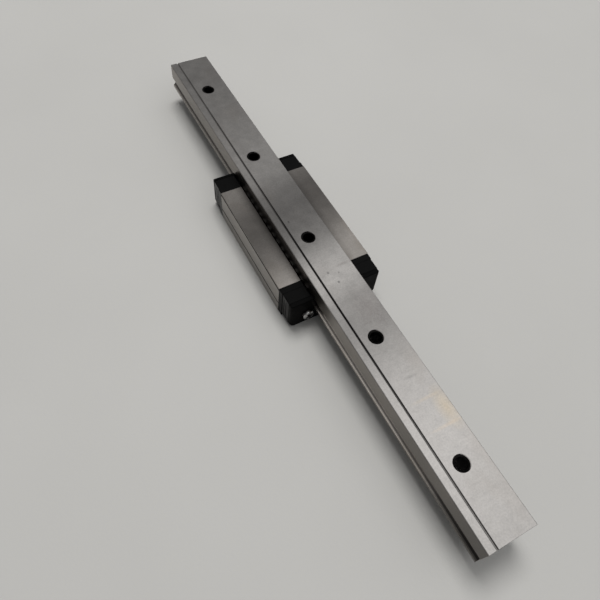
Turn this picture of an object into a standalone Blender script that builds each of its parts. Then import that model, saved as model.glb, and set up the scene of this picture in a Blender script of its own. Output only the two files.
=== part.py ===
"""A 15 mm miniature profile-rail guide: a 200 mm rail and its long four-hole ball carriage.

The guide lies on the carriage's mounting face, so the rail's underside looks up. The origin is under the
rail's middle at the height of that face, +X runs along the rail and +Z points from carriage to rail.
"""

import math

import bmesh
import bpy
from mathutils import Vector

MM = 0.001

# Height of the assembly, from the carriage's mounting face (z = 0) to the rail's underside
ASSEMBLY_HEIGHT = 16 * MM

# Rail
RAIL_LENGTH = 200 * MM
RAIL_HALF_WIDTH = 7.5 * MM
RAIL_HEIGHT = 10 * MM
RAIL_CHAMFER = 0.2 * MM
HOLE_PITCH = 40 * MM
HOLE_COUNT = 5
HOLE_RADIUS = 1.75 * MM
HOLE_MOUTH_RADIUS = 2.25 * MM  # where the hole's countersunk rim meets the underside
COUNTERBORE_RADIUS = 3.0 * MM
COUNTERBORE_DEPTH = 4.5 * MM
MARK_Y = -4.75 * MM  # the fine groove on the underside that marks the datum side
MARK_WIDTH = 0.6 * MM
MARK_DEPTH = 0.4 * MM

# Balls and raceways
BALL_RADIUS = 3.175 / 2 * MM
BALL_Y = 8.05 * MM
BALL_Z = 8.8 * MM
BALLS_PER_CIRCUIT = 31
LOADED_BALLS = 13
GROOVE_RADIUS = 1.72 * MM
GROOVE_CLEARANCE = 0.04 * MM
RETURN_RADIUS = 1.75 * MM
RETURN_Y = 12.85 * MM

# Retaining wire, which runs in a relief slot at the bottom of each rail groove
WIRE_RADIUS = 0.25 * MM
WIRE_Y = 6.13 * MM
WIRE_LEG_X = 27.0 * MM
WIRE_LEG_Y = 9.3 * MM
WIRE_BEND = 0.6 * MM
WIRE_ROOM = 0.2 * MM
RELIEF_HALF_HEIGHT = 0.45 * MM
RELIEF_DRAFT = 0.05 * MM
RELIEF_Y = 5.6 * MM

# Steel carriage block, whose middle stands off the rail's
CARRIAGE_X = -10.5 * MM
BLOCK_LENGTH = 43.4 * MM
BLOCK_HALF_WIDTH = 16 * MM
BLOCK_HEIGHT = 12 * MM
BLOCK_CHAMFERS = (0.2 * MM, 0.15 * MM)  # on the long edges at the mounting face, and at the other face
CHANNEL_HALF_WIDTH = 8.0 * MM  # beside the rail, from the roof to the raceway
SKIRT_HALF_WIDTH = 8.5 * MM  # beside the rail, from the raceway to the underside
CHANNEL_ROOF_Z = 5.2 * MM
SIDE_LINES_Z = (4.15 * MM, 11.25 * MM)  # V-lines on each side, which bound its ground surface
SIDE_LINE_HALF_WIDTH = 0.4 * MM
SIDE_LINE_DEPTH = 0.25 * MM
TAPPED_SPACING = 25 * MM
TAPPED_RADIUS = 1.25 * MM
TAPPED_MOUTH_RADIUS = 1.6 * MM
TAPPED_DEPTH = 4 * MM

# Plastic ends, stacked outwards from the block with a fine joint between layers
JOINT_GAP = 0.1 * MM
FLANGE_END_X = 23.9 * MM
FLANGE_HALF_WIDTH = 15.95 * MM
FLANGE_LOW = 0.05 * MM
FLANGE_HIGH = 11.95 * MM
FLANGE_CHAMFERS = (0.4 * MM, 0.3 * MM)
CAP_END_X = 27.9 * MM
CAP_HALF_WIDTH = 15.75 * MM
CAP_LOW = 0.2 * MM
CAP_HIGH = 11.85 * MM
CAP_CHAMFERS = (1.6 * MM, 0.3 * MM)
CAP_NOSE_CLEARANCE = 0.35 * MM
SEAL_END_X = 29.4 * MM
SEAL_HALF_WIDTH = 15.7 * MM
SEAL_LOW = 0.25 * MM
SEAL_HIGH = 11.8 * MM
SEAL_CHAMFERS = (2.0 * MM, 0.4 * MM)
SEAL_CLEARANCE = 0.25 * MM
TURN_OUTER_RADIUS = 4.15 * MM
TURN_HALF_HEIGHT = 1.75 * MM
GUIDE_CLEARANCE = 0.12 * MM
GREASE_GROOVE_Z = (1.1 * MM, 1.8 * MM)
GREASE_GROOVE_DEPTH = 0.6 * MM

# Pan-head screws that clamp the ends, and the grease ports' set screws
SCREW_Y = 9.7 * MM
SCREW_Z = 4.6 * MM
SCREW_HEAD_RADIUS = 1.85 * MM
SCREW_HEAD_HEIGHT = 1.2 * MM
SCREW_SHANK_RADIUS = 0.95 * MM
SCREW_TIP_X = 17.4 * MM
SCREW_HOLE_RADIUS = 1.15 * MM
SCREW_HOLE_END_X = 16.6 * MM
CROSS_WIDTH = 0.65 * MM
CROSS_SPAN = 2.4 * MM
CROSS_DEPTH = 0.8 * MM
PORT_Z = 2.9 * MM
PORT_RADIUS = 1.55 * MM
PLUG_RADIUS = 1.4 * MM
PLUG_START_X = 25.6 * MM
PLUG_END_X = 28.7 * MM
PLUG_SOCKET_RADIUS = 0.85 * MM
PLUG_SOCKET_DEPTH = 1.2 * MM

RAIL_TOP_Z = ASSEMBLY_HEIGHT - RAIL_HEIGHT
BLOCK_END_X = BLOCK_LENGTH / 2
TURN_X = BLOCK_END_X + JOINT_GAP / 2
TURN_Y = (BALL_Y + RETURN_Y) / 2
TURN_RADIUS = (RETURN_Y - BALL_Y) / 2
THROUGH = 1 * MM  # how far a cutter runs past the wall that it cuts

MATERIALS = {
    "rail_steel": ((0.50, 0.49, 0.47), 0.38, 1.0),
    "block_steel": ((0.42, 0.40, 0.38), 0.36, 1.0),
    "black_plastic": ((0.012, 0.012, 0.013), 0.45, 0.0),
    "white_plastic": ((0.75, 0.74, 0.70), 0.5, 0.0),
    "seal_rubber": ((0.010, 0.010, 0.010), 0.6, 0.0),
    "bearing_steel": ((0.68, 0.68, 0.67), 0.12, 1.0),
    "screw_steel": ((0.60, 0.60, 0.58), 0.28, 1.0),
    "wire_steel": ((0.55, 0.55, 0.54), 0.3, 1.0),
}


# Scene, materials and modifiers


def clear_scene():
    for obj in list(bpy.data.objects):
        bpy.data.objects.remove(obj, do_unlink=True)


def new_collection(name, parent):
    collection = bpy.data.collections.new(name)
    parent.children.link(collection)
    return collection


def material(slot):
    if slot in bpy.data.materials:
        return bpy.data.materials[slot]
    colour, roughness, metallic = MATERIALS[slot]
    made = bpy.data.materials.new(slot)
    made.use_nodes = True
    shader = made.node_tree.nodes["Principled BSDF"]
    shader.inputs["Base Color"].default_value = (*colour, 1.0)
    shader.inputs["Roughness"].default_value = roughness
    shader.inputs["Metallic"].default_value = metallic
    return made


def as_part(obj, slot, empty):
    """Puts obj in the guide's collection with its material, placed from its body's empty."""
    parts.objects.link(obj)
    obj.data.materials.clear()
    obj.data.materials.append(material(slot))
    obj.parent = empty
    return obj


def as_cutter(obj, empty):
    cutters.objects.link(obj)
    obj.parent = empty
    obj.hide_render = True
    obj.display_type = "WIRE"
    return obj


def cut(obj, cutter):
    modifier = obj.modifiers.new("cut_" + cutter.name, "BOOLEAN")
    modifier.operation = "DIFFERENCE"
    modifier.solver = "EXACT"
    modifier.object = cutter


# Shapes


def mesh_of(curve_object, name):
    """The evaluated curve as a mesh object in the same place, with its caps welded to its sides."""
    bpy.context.scene.collection.objects.link(curve_object)
    bpy.context.view_layer.update()
    graph = bpy.context.evaluated_depsgraph_get()
    mesh = bpy.data.meshes.new_from_object(curve_object.evaluated_get(graph))
    work = bmesh.new()
    work.from_mesh(mesh)
    bmesh.ops.remove_doubles(work, verts=work.verts, dist=1e-6)
    bmesh.ops.recalc_face_normals(work, faces=work.faces)
    work.to_mesh(mesh)
    work.free()
    obj = bpy.data.objects.new(name, mesh)
    obj.matrix_world = curve_object.matrix_world
    bpy.data.objects.remove(curve_object, do_unlink=True)
    return obj


def prism(name, outlines, start_x, end_x):
    """A cross-section in (y, z), with any holes as further outlines, extruded along X."""
    curve = bpy.data.curves.new(name, "CURVE")
    curve.dimensions = "2D"
    curve.fill_mode = "BOTH"
    curve.extrude = abs(end_x - start_x) / 2
    for outline in outlines:
        spline = curve.splines.new("POLY")
        spline.points.add(len(outline) - 1)
        for point, (y, z) in zip(spline.points, outline):
            point.co = (y, z, 0, 1)
        spline.use_cyclic_u = True
    flat = bpy.data.objects.new(name + "_outline", curve)
    flat.rotation_euler = (math.pi / 2, 0, math.pi / 2)  # the curve's X is world Y, and its Y is world Z
    flat.location = ((start_x + end_x) / 2, 0, 0)
    return mesh_of(flat, name)


def tube(name, points, radius, sides_per_quarter):
    """A round wire through the points, with flat ends, as a curve object."""
    curve = bpy.data.curves.new(name, "CURVE")
    curve.dimensions = "3D"
    curve.fill_mode = "FULL"
    curve.bevel_depth = radius
    curve.bevel_resolution = sides_per_quarter - 1
    curve.use_fill_caps = True
    spline = curve.splines.new("POLY")
    spline.points.add(len(points) - 1)
    for point, place in zip(spline.points, points):
        point.co = (*place, 1)
    return bpy.data.objects.new(name + "_line", curve)


def cylinder(name, radius, start, end, segments):
    """A closed cylinder from the point start to the point end."""
    axis = Vector(end) - Vector(start)
    work = bmesh.new()
    bmesh.ops.create_cone(
        work, cap_ends=True, segments=segments, radius1=radius, radius2=radius, depth=axis.length
    )
    mesh = bpy.data.meshes.new(name)
    work.to_mesh(mesh)
    work.free()
    obj = bpy.data.objects.new(name, mesh)
    obj.rotation_mode = "QUATERNION"
    obj.rotation_quaternion = axis.to_track_quat("Z", "Y")
    obj.location = (Vector(start) + Vector(end)) / 2
    return obj


def box(name, low, high):
    work = bmesh.new()
    bmesh.ops.create_cube(work, size=1)
    size = Vector(high) - Vector(low)
    bmesh.ops.scale(work, vec=size, verts=work.verts)
    mesh = bpy.data.meshes.new(name)
    work.to_mesh(mesh)
    work.free()
    obj = bpy.data.objects.new(name, mesh)
    obj.location = (Vector(low) + Vector(high)) / 2
    return obj


def turned(name, profile, steps):
    """A profile of (radius, height) points, listed from the top to the bottom, turned about Z."""
    mesh = bpy.data.meshes.new(name)
    edges = [(i, i + 1) for i in range(len(profile) - 1)]
    mesh.from_pydata([(radius, 0, height) for radius, height in profile], edges, [])
    obj = bpy.data.objects.new(name, mesh)
    screw = obj.modifiers.new("turn", "SCREW")
    screw.steps = steps
    screw.render_steps = steps
    screw.use_merge_vertices = True
    screw.merge_threshold = 1e-6
    return obj


def lay_along_x(obj, direction):
    """Turns a shape whose axis is Z so that its top points along +X or -X."""
    obj.rotation_euler = (0, direction * math.pi / 2, 0)
    return obj


# Outlines, as (y, z) points


def circle(y, z, radius, segments):
    turn = 2 * math.pi / segments
    return [
        (y + radius * math.cos(i * turn), z + radius * math.sin(i * turn)) for i in range(segments)
    ]


def arch(towards, radius, low_wall, high_wall, bottom_half_height=0.0, segments=4):
    """The two arcs of a Gothic arch round the +Y row of balls, each listed with rising z.

    towards is -1 for an arch that bulges to the rail and 1 for one that bulges to the block. The lower arc
    starts on the wall y = low_wall, and the upper arc ends on y = high_wall.
    """
    offset = (GROOVE_RADIUS - BALL_RADIUS - GROOVE_CLEARANCE) * math.sqrt(0.5)
    centre_y = BALL_Y - towards * offset
    arcs = []
    for up, wall in ((-1, low_wall), (1, high_wall)):
        centre_z = BALL_Z - up * offset
        bottom = math.asin((bottom_half_height + offset) / radius)
        lip = math.acos((wall - centre_y) * towards / radius)
        angles = [bottom + (lip - bottom) * i / segments for i in range(segments + 1)]
        arc = [
            (centre_y + towards * radius * math.cos(a), centre_z + up * radius * math.sin(a))
            for a in angles
        ]
        arcs.append(arc[::-1] if up < 0 else arc)
    return arcs


def both_sides(right):
    """A +Y outline from its lowest point to its highest, closed by its mirror image on the -Y side."""
    return right + [(-y, z) for y, z in reversed(right)]


def rail_outline():
    low, high = arch(-1, GROOVE_RADIUS, RAIL_HALF_WIDTH, RAIL_HALF_WIDTH, RELIEF_HALF_HEIGHT)
    relief = [
        (RELIEF_Y, BALL_Z - RELIEF_HALF_HEIGHT + RELIEF_DRAFT),
        (RELIEF_Y, BALL_Z + RELIEF_HALF_HEIGHT - RELIEF_DRAFT),
    ]
    right = [
        (RAIL_HALF_WIDTH - RAIL_CHAMFER, RAIL_TOP_Z),
        (RAIL_HALF_WIDTH, RAIL_TOP_Z + RAIL_CHAMFER),
        *low,
        *relief,
        *high,
        (RAIL_HALF_WIDTH, ASSEMBLY_HEIGHT - RAIL_CHAMFER),
        (RAIL_HALF_WIDTH - RAIL_CHAMFER, ASSEMBLY_HEIGHT),
    ]
    mark = [
        (MARK_Y + MARK_WIDTH / 2, ASSEMBLY_HEIGHT),
        (MARK_Y, ASSEMBLY_HEIGHT - MARK_DEPTH),
        (MARK_Y - MARK_WIDTH / 2, ASSEMBLY_HEIGHT),
    ]
    return right + mark + [(-y, z) for y, z in reversed(right)]


def raceway_walls(low_wall, high_wall, roof):
    """The +Y inner wall of the block's channel, from its underside down to its roof."""
    low, high = arch(1, GROOVE_RADIUS, low_wall, high_wall)
    return [*reversed(high), *reversed(low[:-1]), (low_wall, roof)]


def nose_walls(low_wall, high_wall, roof, clearance):
    """The +Y inner wall of an end, with a nose that reaches into the rail's groove."""
    low, high = arch(-1, GROOVE_RADIUS - clearance, low_wall, high_wall)
    return [*reversed(high), *reversed(low[:-1]), (low_wall, roof)]


def saddle_outline(half_width, low, high, chamfers, walls, lines_z=()):
    """The C-shaped section that straddles the rail: outside up the +Y side, then down its inner walls."""
    low_chamfer, high_chamfer = chamfers
    lines = []
    for z in lines_z:
        lines.append((half_width, z - SIDE_LINE_HALF_WIDTH))
        lines.append((half_width - SIDE_LINE_DEPTH, z))
        lines.append((half_width, z + SIDE_LINE_HALF_WIDTH))
    right = [
        (half_width - low_chamfer, low),
        (half_width, low + low_chamfer),
        *lines,
        (half_width, high - high_chamfer),
        (half_width - high_chamfer, high),
        (walls[0][0], high),
        *walls,
    ]
    return both_sides(right)


# Ball circuits


def circuit_point(distance):
    """(x, y) on the +Y circuit, at a distance in chords of a ball from the middle of its loaded row."""
    straight = 2 * TURN_X
    chord_radius = BALL_RADIUS / math.asin(BALL_RADIUS / TURN_RADIUS)
    turn = math.pi * chord_radius
    distance = (distance + straight / 2) % (2 * (straight + turn))
    if distance < straight:
        return distance - straight / 2, BALL_Y
    distance -= straight
    if distance < turn:
        angle = distance / chord_radius
        return TURN_X + TURN_RADIUS * math.sin(angle), TURN_Y - TURN_RADIUS * math.cos(angle)
    distance -= turn
    if distance < straight:
        return straight / 2 - distance, RETURN_Y
    angle = (distance - straight) / chord_radius
    return -TURN_X - TURN_RADIUS * math.sin(angle), TURN_Y + TURN_RADIUS * math.cos(angle)


def ball_pitch():
    chord_radius = BALL_RADIUS / math.asin(BALL_RADIUS / TURN_RADIUS)
    return (4 * TURN_X + 2 * math.pi * chord_radius) / BALLS_PER_CIRCUIT


def make_loaded_balls():
    """The balls between rail and block, which carry the load: one object each."""
    for side, side_name in SIDES:
        for i in range(LOADED_BALLS):
            work = bmesh.new()
            bmesh.ops.create_icosphere(work, subdivisions=2, radius=BALL_RADIUS)
            mesh = bpy.data.meshes.new(f"ball_{side_name}_{i + 1:02d}")
            work.to_mesh(mesh)
            work.free()
            mesh.shade_smooth()
            ball = bpy.data.objects.new(mesh.name, mesh)
            ball.location = ((i - (LOADED_BALLS - 1) / 2) * ball_pitch(), side * BALL_Y, BALL_Z)
            as_part(ball, "bearing_steel", carriage)


def make_returning_balls():
    """The balls in the turns and the return bore of each circuit, joined by a thin thread through them."""
    ring_offsets = (-0.92, -0.5, 0.5, 0.92)
    thread_share = 0.2
    pitch = ball_pitch()
    first = (LOADED_BALLS + 1) // 2
    last = BALLS_PER_CIRCUIT - first
    rings = []
    for i in range(first, last + 1):
        rings += [(i * pitch + offset * BALL_RADIUS, math.sqrt(1 - offset**2)) for offset in ring_offsets]
        if i < last:
            rings.append(((i + 0.5) * pitch, thread_share))
    for side, side_name in SIDES:
        points = [circuit_point(distance) for distance, _ in rings]
        name = f"returning_balls_{side_name}"
        chain = tube(name, [(x, side * y, BALL_Z) for x, y in points], BALL_RADIUS, 2)
        for point, (_, share) in zip(chain.data.splines[0].points, rings):
            point.radius = share
        as_part(mesh_of(chain, name), "bearing_steel", carriage)


# Rail


def make_rail():
    rail = prism("rail", [rail_outline()], -RAIL_LENGTH / 2, RAIL_LENGTH / 2)
    as_part(rail, "rail_steel", rail_frame)
    shoulder_z = RAIL_TOP_Z + COUNTERBORE_DEPTH
    for i in range(HOLE_COUNT):
        hole = turned(
            f"rail_hole_{i + 1}",
            [
                (0, ASSEMBLY_HEIGHT + THROUGH),
                (HOLE_MOUTH_RADIUS, ASSEMBLY_HEIGHT + THROUGH),
                (HOLE_MOUTH_RADIUS, ASSEMBLY_HEIGHT),
                (HOLE_RADIUS, ASSEMBLY_HEIGHT - (HOLE_MOUTH_RADIUS - HOLE_RADIUS)),
                (HOLE_RADIUS, shoulder_z),
                (COUNTERBORE_RADIUS, shoulder_z),
                (COUNTERBORE_RADIUS, RAIL_TOP_Z - THROUGH),
                (0, RAIL_TOP_Z - THROUGH),
            ],
            24,
        )
        hole.location = ((i - (HOLE_COUNT - 1) / 2) * HOLE_PITCH, 0, 0)
        cut(rail, as_cutter(hole, rail_frame))


# Carriage


def make_block():
    walls = raceway_walls(CHANNEL_HALF_WIDTH, SKIRT_HALF_WIDTH, CHANNEL_ROOF_Z)
    outlines = [
        saddle_outline(BLOCK_HALF_WIDTH, 0, BLOCK_HEIGHT, BLOCK_CHAMFERS, walls, SIDE_LINES_Z),
        circle(RETURN_Y, BALL_Z, RETURN_RADIUS, 16),
        circle(-RETURN_Y, BALL_Z, RETURN_RADIUS, 16),
    ]
    block = prism("carriage_block", outlines, -BLOCK_END_X, BLOCK_END_X)
    as_part(block, "block_steel", carriage)
    for end, end_name in ENDS:
        for side, side_name in SIDES:
            tapped = turned(
                f"tapped_hole_{end_name}_{side_name}",
                [
                    (0, TAPPED_DEPTH + TAPPED_RADIUS / 2),
                    (TAPPED_RADIUS, TAPPED_DEPTH),
                    (TAPPED_RADIUS, TAPPED_MOUTH_RADIUS - TAPPED_RADIUS),
                    (TAPPED_MOUTH_RADIUS, 0),
                    (TAPPED_MOUTH_RADIUS, -THROUGH),
                    (0, -THROUGH),
                ],
                16,
            )
            tapped.location = (end * TAPPED_SPACING / 2, side * TAPPED_SPACING / 2, 0)
            cut(block, as_cutter(tapped, carriage))
            cut(block, screw_hole_cutter(end, side))


def screw_hole_cutter(end, side):
    """The hole of one end screw, from outside the end to its blind bottom in the block."""
    hole = cylinder(
        f"screw_hole_{end}_{side}",
        SCREW_HOLE_RADIUS,
        (end * SCREW_HOLE_END_X, side * SCREW_Y, SCREW_Z),
        (end * (SEAL_END_X + THROUGH), side * SCREW_Y, SCREW_Z),
        12,
    )
    return as_cutter(hole, carriage)


def port_cutter(end):
    hole = cylinder(
        f"port_{end}",
        PORT_RADIUS,
        (end * (BLOCK_END_X - THROUGH), 0, PORT_Z),
        (end * (SEAL_END_X + THROUGH), 0, PORT_Z),
        16,
    )
    return as_cutter(hole, carriage)


def outside_cutter(end):
    """What surrounds the cap's body beyond its flange, so that the body is stepped in from the flange."""
    edge = saddle_outline(CAP_HALF_WIDTH, CAP_LOW, CAP_HIGH, CAP_CHAMFERS, [(0, CAP_HIGH)])
    beyond = CAP_HALF_WIDTH + 2 * THROUGH
    around = [(-beyond, -THROUGH), (beyond, -THROUGH)]
    around += [(y, CAP_HIGH + 2 * THROUGH) for y in (beyond, -beyond)]
    start, stop = sorted((end * FLANGE_END_X, end * (SEAL_END_X + THROUGH)))
    return as_cutter(prism(f"cap_step_{end}", [around, edge], start, stop), carriage)


def turn_cutter(end, side):
    """The pocket on a cap's inner face, where the balls turn from the loaded row into the return bore."""
    pocket = cylinder(
        f"ball_turn_{end}_{side}",
        TURN_OUTER_RADIUS,
        (end * TURN_X, side * TURN_Y, BALL_Z - TURN_HALF_HEIGHT),
        (end * TURN_X, side * TURN_Y, BALL_Z + TURN_HALF_HEIGHT),
        24,
    )
    return as_cutter(pocket, carriage)


def grease_groove_cutters(end):
    """Grooves on the cap's inner face that take grease from the port to both ball turns."""
    low, high = GREASE_GROOVE_Z
    width = high - low
    reach = RETURN_Y + width
    start, stop = sorted((end * (BLOCK_END_X - THROUGH), end * (TURN_X + GREASE_GROOVE_DEPTH)))
    across = box(f"grease_across_{end}", (start, -reach, low), (stop, reach, high))
    yield as_cutter(across, carriage)
    for side, side_name in SIDES:
        near, far = sorted((side * RETURN_Y, side * reach))
        up = box(
            f"grease_up_{end}_{side_name}", (start, near, low + width / 2), (stop, far, BALL_Z - BALL_RADIUS)
        )
        yield as_cutter(up, carriage)


def wire_room_cutter(end, side):
    """The bent hole in a cap that holds one end of a retaining wire."""
    line = wire_points(side, WIRE_LEG_Y + WIRE_ROOM)
    half = line[: len(line) // 2] if end > 0 else line[len(line) // 2 :]
    inner_x = end * (BLOCK_END_X - THROUGH)
    inner = [(inner_x, side * WIRE_Y, BALL_Z)]
    points = half + inner if end > 0 else inner + half
    name = f"wire_room_{end}_{side}"
    return as_cutter(mesh_of(tube(name, points, WIRE_RADIUS + WIRE_ROOM, 2), name), carriage)


def make_end_cap(end, end_name):
    """The moulded cap that turns both ball circuits round and holds the wires' ends."""
    walls = nose_walls(CHANNEL_HALF_WIDTH, SKIRT_HALF_WIDTH, CHANNEL_ROOF_Z, CAP_NOSE_CLEARANCE)
    outline = saddle_outline(FLANGE_HALF_WIDTH, FLANGE_LOW, FLANGE_HIGH, FLANGE_CHAMFERS, walls)
    start, stop = sorted((end * (BLOCK_END_X + JOINT_GAP), end * CAP_END_X))
    cap = prism(f"end_cap_{end_name}", [outline], start, stop)
    as_part(cap, "black_plastic", carriage)
    cut(cap, outside_cutter(end))
    for side, _ in SIDES:
        cut(cap, turn_cutter(end, side))
        cut(cap, screw_hole_cutter(end, side))
        cut(cap, wire_room_cutter(end, side))
    cut(cap, port_cutter(end))
    for groove in grease_groove_cutters(end):
        cut(cap, groove)


def make_return_guide(end, end_name, side, side_name):
    """The half spool in a cap's pocket that the balls run round; its flat face lies on the block."""
    half_height = TURN_HALF_HEIGHT - GUIDE_CLEARANCE
    groove = BALL_RADIUS + GUIDE_CLEARANCE
    steps = 6
    profile = [(0, half_height)]
    for i in range(steps + 1):
        height = half_height * (1 - 2 * i / steps)
        profile.append((TURN_RADIUS - math.sqrt(max(groove**2 - height**2, 0)), height))
    profile.append((0, -half_height))
    guide = turned(f"return_guide_{end_name}_{side_name}", profile, 16)
    guide.location = (end * TURN_X, side * TURN_Y, BALL_Z)
    as_part(guide, "white_plastic", carriage)
    inside = sorted((end * (BLOCK_END_X - 4 * THROUGH), end * (BLOCK_END_X + JOINT_GAP / 2)))
    half = box(
        f"guide_half_{end}_{side}",
        (inside[0], side * TURN_Y - TURN_OUTER_RADIUS, BALL_Z - 2 * TURN_HALF_HEIGHT),
        (inside[1], side * TURN_Y + TURN_OUTER_RADIUS, BALL_Z + 2 * TURN_HALF_HEIGHT),
    )
    cut(guide, as_cutter(half, carriage))


def make_end_seal(end, end_name):
    """The wiper on the outside, whose lip follows the rail's section."""
    lip = RAIL_HALF_WIDTH + SEAL_CLEARANCE
    walls = nose_walls(lip, lip, RAIL_TOP_Z - SEAL_CLEARANCE, SEAL_CLEARANCE)
    outline = saddle_outline(SEAL_HALF_WIDTH, SEAL_LOW, SEAL_HIGH, SEAL_CHAMFERS, walls)
    start, stop = sorted((end * (CAP_END_X + JOINT_GAP), end * SEAL_END_X))
    seal = prism(f"end_seal_{end_name}", [outline], start, stop)
    as_part(seal, "seal_rubber", carriage)
    for side, _ in SIDES:
        cut(seal, screw_hole_cutter(end, side))
    cut(seal, port_cutter(end))


def make_cap_screw(end, end_name, side, side_name):
    """A pan-head cross-recess screw through seal and cap into the block."""
    under_head = SEAL_END_X + JOINT_GAP / 2
    top = under_head + SCREW_HEAD_HEIGHT
    screw = turned(
        f"cap_screw_{end_name}_{side_name}",
        [
            (0, top),
            (0.65 * SCREW_HEAD_RADIUS, top),
            (SCREW_HEAD_RADIUS, under_head + 0.45 * SCREW_HEAD_HEIGHT),
            (SCREW_HEAD_RADIUS, under_head),
            (SCREW_SHANK_RADIUS, under_head),
            (SCREW_SHANK_RADIUS, SCREW_TIP_X + SCREW_SHANK_RADIUS / 2),
            (SCREW_SHANK_RADIUS / 2, SCREW_TIP_X),
            (0, SCREW_TIP_X),
        ],
        16,
    )
    lay_along_x(screw, end).location = (0, side * SCREW_Y, SCREW_Z)
    as_part(screw, "screw_steel", carriage)
    start, stop = sorted((end * (top - CROSS_DEPTH), end * (top + THROUGH)))
    for width, height in ((CROSS_SPAN, CROSS_WIDTH), (CROSS_WIDTH, CROSS_SPAN)):
        slot = box(
            f"cross_{end_name}_{side_name}",
            (start, side * SCREW_Y - width / 2, SCREW_Z - height / 2),
            (stop, side * SCREW_Y + width / 2, SCREW_Z + height / 2),
        )
        cut(screw, as_cutter(slot, carriage))


def make_grease_plug(end, end_name):
    """The socket set screw that closes a grease port."""
    plug = turned(
        f"grease_plug_{end_name}",
        [
            (0, PLUG_END_X),
            (0.85 * PLUG_RADIUS, PLUG_END_X),
            (PLUG_RADIUS, PLUG_END_X - 0.15 * PLUG_RADIUS),
            (PLUG_RADIUS, PLUG_START_X + 0.3 * PLUG_RADIUS),
            (0.7 * PLUG_RADIUS, PLUG_START_X),
            (0, PLUG_START_X),
        ],
        16,
    )
    lay_along_x(plug, end).location = (0, 0, PORT_Z)
    as_part(plug, "screw_steel", carriage)
    socket = cylinder(
        f"socket_{end_name}",
        PLUG_SOCKET_RADIUS,
        (end * (PLUG_END_X - PLUG_SOCKET_DEPTH), 0, PORT_Z),
        (end * (PLUG_END_X + THROUGH), 0, PORT_Z),
        6,
    )
    cut(plug, as_cutter(socket, carriage))


def wire_points(side, leg_y):
    """A retaining wire's line: along the raceway, with both ends bent outwards to leg_y in the caps."""
    bend_steps = 3
    half = [(WIRE_LEG_X, leg_y)]
    for i in range(bend_steps + 1):
        angle = math.pi / 2 * i / bend_steps
        x = WIRE_LEG_X - WIRE_BEND * (1 - math.cos(angle))
        half.append((x, WIRE_Y + WIRE_BEND * (1 - math.sin(angle))))
    points = half + [(-x, y) for x, y in reversed(half)]
    return [(x, side * y, BALL_Z) for x, y in points]


def make_retaining_wire(side, side_name):
    name = f"retaining_wire_{side_name}"
    wire = mesh_of(tube(name, wire_points(side, WIRE_LEG_Y), WIRE_RADIUS, 2), name)
    as_part(wire, "wire_steel", carriage)


def make_empty(name, location):
    empty = bpy.data.objects.new(name, None)
    empty.location = location
    parts.objects.link(empty)
    return empty


ENDS = ((-1, "rear"), (1, "front"))
SIDES = ((-1, "left"), (1, "right"))

clear_scene()
parts = new_collection("linear_guide", bpy.context.scene.collection)
cutters = new_collection("cutters", bpy.context.scene.collection)
rail_frame = make_empty("rail_frame", (0, 0, 0))
carriage = make_empty("carriage_frame", (CARRIAGE_X, 0, 0))

make_rail()
make_block()
for end, end_name in ENDS:
    make_end_cap(end, end_name)
    make_end_seal(end, end_name)
    make_grease_plug(end, end_name)
    for side, side_name in SIDES:
        make_return_guide(end, end_name, side, side_name)
        make_cap_screw(end, end_name, side, side_name)
for side, side_name in SIDES:
    make_retaining_wire(side, side_name)
make_loaded_balls()
make_returning_balls()
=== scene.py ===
"""The looks of a 15 mm miniature profile-rail guide: a ball carriage lying upside down with its rail."""

import math

import bmesh
import bpy
from mathutils import Matrix, Vector


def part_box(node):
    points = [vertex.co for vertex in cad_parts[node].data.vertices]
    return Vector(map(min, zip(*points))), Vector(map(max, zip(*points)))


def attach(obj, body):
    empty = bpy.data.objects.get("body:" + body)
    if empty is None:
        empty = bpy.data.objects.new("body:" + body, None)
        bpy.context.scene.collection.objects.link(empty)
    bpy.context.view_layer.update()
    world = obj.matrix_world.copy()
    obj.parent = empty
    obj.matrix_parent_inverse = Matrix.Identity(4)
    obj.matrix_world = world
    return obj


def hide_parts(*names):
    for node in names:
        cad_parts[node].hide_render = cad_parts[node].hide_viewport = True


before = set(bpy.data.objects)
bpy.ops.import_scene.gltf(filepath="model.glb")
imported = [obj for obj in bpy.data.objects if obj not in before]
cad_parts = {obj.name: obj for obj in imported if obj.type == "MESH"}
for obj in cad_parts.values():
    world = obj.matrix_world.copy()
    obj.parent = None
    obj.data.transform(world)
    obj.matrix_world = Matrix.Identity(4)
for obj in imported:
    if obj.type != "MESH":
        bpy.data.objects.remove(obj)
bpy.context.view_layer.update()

MM = 0.001
MM_PER_METRE = 1000
TINY = 0.001 * MM
THROUGH = 1 * MM  # how far a cutter reaches past the surface that it cuts

# The sign along X of each end and along Y of each side
ENDS = ((-1, "rear"), (1, "front"))
SIDES = ((-1, "left"), (1, "right"))

# Rail: section and datum groove
RAIL_LOW, RAIL_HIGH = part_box("rail")
RAIL_MIDDLE_X = (RAIL_LOW.x + RAIL_HIGH.x) / 2
RAIL_HALF_LENGTH = (RAIL_HIGH.x - RAIL_LOW.x) / 2
RAIL_CHAMFER = 0.2 * MM
RAIL_EDGE = 0.06 * MM
DATUM_Y = -4.75 * MM
DATUM_WIDTH = 0.64 * MM
DATUM_FLOOR_WIDTH = 0.36 * MM
DATUM_DEPTH = 0.35 * MM

# Rail's screw holes
HOLE_PITCH = 40 * MM
HOLE_COUNT = 5
HOLE_RADIUS = 1.75 * MM
HOLE_MOUTH_RADIUS = 2.4 * MM
HOLE_RIM_RADIUS = 2.2 * MM
HOLE_RIM_DEPTH = 0.1 * MM
HOLE_SINK_DEPTH = 0.2 * MM
COUNTERBORE_RADIUS = 2.75 * MM
COUNTERBORE_DEPTH = 4.5 * MM
COUNTERBORE_CHAMFER = 0.1 * MM

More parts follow.
